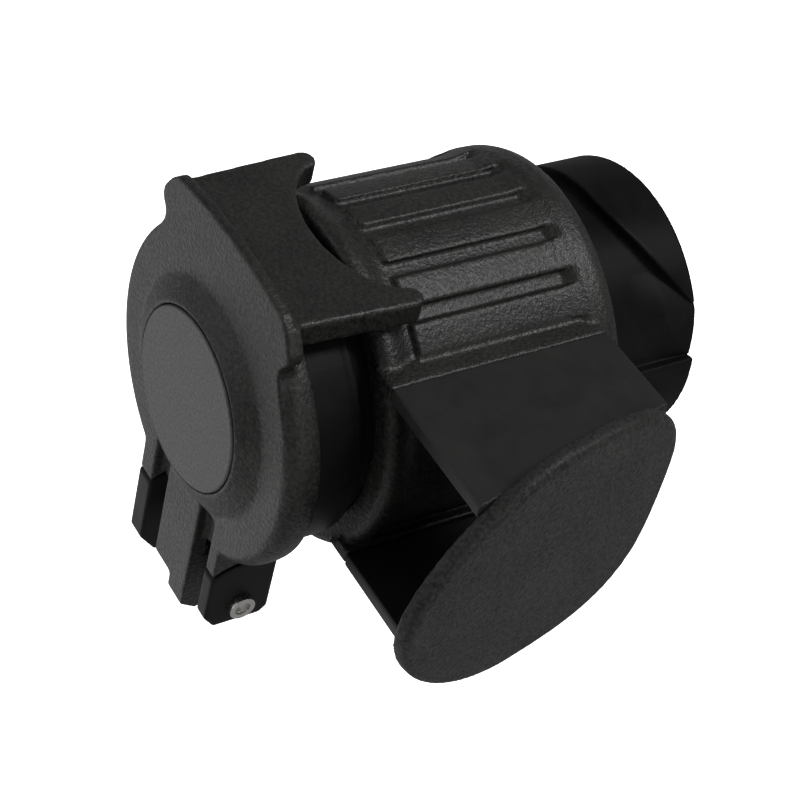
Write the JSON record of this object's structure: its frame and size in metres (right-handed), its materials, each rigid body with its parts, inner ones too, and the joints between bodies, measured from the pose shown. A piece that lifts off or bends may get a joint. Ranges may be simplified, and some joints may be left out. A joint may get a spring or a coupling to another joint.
{
  "type": "trailer wiring adapter",
  "caption": "Short black plastic adapter between a trailer's lighting plug and a towing vehicle's socket, with a sprung flip lid, a knurled locking sleeve and a flat turning handle.",
  "frame": {"origin": "centre of the lid disc's outer face", "axes": "+Y along the connector's axis to the plug end, +X toward the turning handle, +Z toward the lid's finger tab; the lid's hinge is at -Z"},
  "size_m": [0.0789, 0.0769, 0.0743],
  "materials": {
    "housing_plastic": "satin",
    "insert_plastic": "matt",
    "grained_plastic": "fine grain",
    "disc_plastic": "fine grain",
    "cap_plastic": "fine grain",
    "plate_plastic": "smooth",
    "satin_plastic": "satin",
    "seal_rubber": "matt",
    "bright_steel": "polished",
    "spring_steel": "drawn",
    "contact_brass": "satin",
    "pin_brass": "tinned",
    "lead_yellow": "insulation",
    "lead_blue": "insulation",
    "lead_white": "insulation",
    "lead_green": "insulation",
    "lead_brown": "insulation",
    "lead_red": "insulation",
    "lead_black": "insulation"
  },
  "bodies": {
    "core": {"socket_housing": "housing_plastic", "plug_housing": "housing_plastic", "socket_insert": "insert_plastic", "plug_insert": "insert_plastic", "hinge_pin": "bright_steel", "housing_screws": "bright_steel", "insert_screws": "bright_steel", "retaining_ring": "spring_steel", "front_o_ring": "seal_rubber", "rear_o_ring": "seal_rubber", "socket_contact_1": "contact_brass", "socket_contact_2": "contact_brass", "socket_contact_3": "contact_brass", "socket_contact_4": "contact_brass", "socket_contact_5": "contact_brass", "socket_contact_6": "contact_brass", "socket_contact_7": "contact_brass", "plug_pin_1": "pin_brass", "plug_pin_2": "pin_brass", "plug_pin_3": "pin_brass", "plug_pin_4": "pin_brass", "plug_pin_5": "pin_brass", "plug_pin_6": "pin_brass", "plug_pin_7": "pin_brass", "lead_1": "lead_yellow", "lead_2": "lead_blue", "lead_3": "lead_white", "lead_4": "lead_green", "lead_5": "lead_brown", "lead_6": "lead_red", "lead_7": "lead_black"},
    "lid": {"lid_cover": "grained_plastic", "lid_disc": "disc_plastic", "lid_seal": "seal_rubber", "lid_spring": "spring_steel"},
    "grip": {"grip_sleeve": "grained_plastic", "bayonet_sleeve": "satin_plastic", "handle_yoke": "plate_plastic", "handle_cap": "cap_plastic", "coupling_gasket": "seal_rubber"}
  },
  "joints": [
    {"name": "lid_hinge", "type": "hinge", "parent": "core", "child": "lid", "pos_m": [0, 0.0082, -0.035], "axis": [1, 0, 0], "range_deg": [0, 110], "stiffness_Nm_per_rad": 0.04, "springref_deg": -45.84},
    {"name": "lock_sleeve_turn", "type": "hinge", "parent": "core", "child": "grip", "pos_m": [0, 0.04, 0], "axis": [0, 1, 0], "range_deg": [0, 90]}
  ]
}
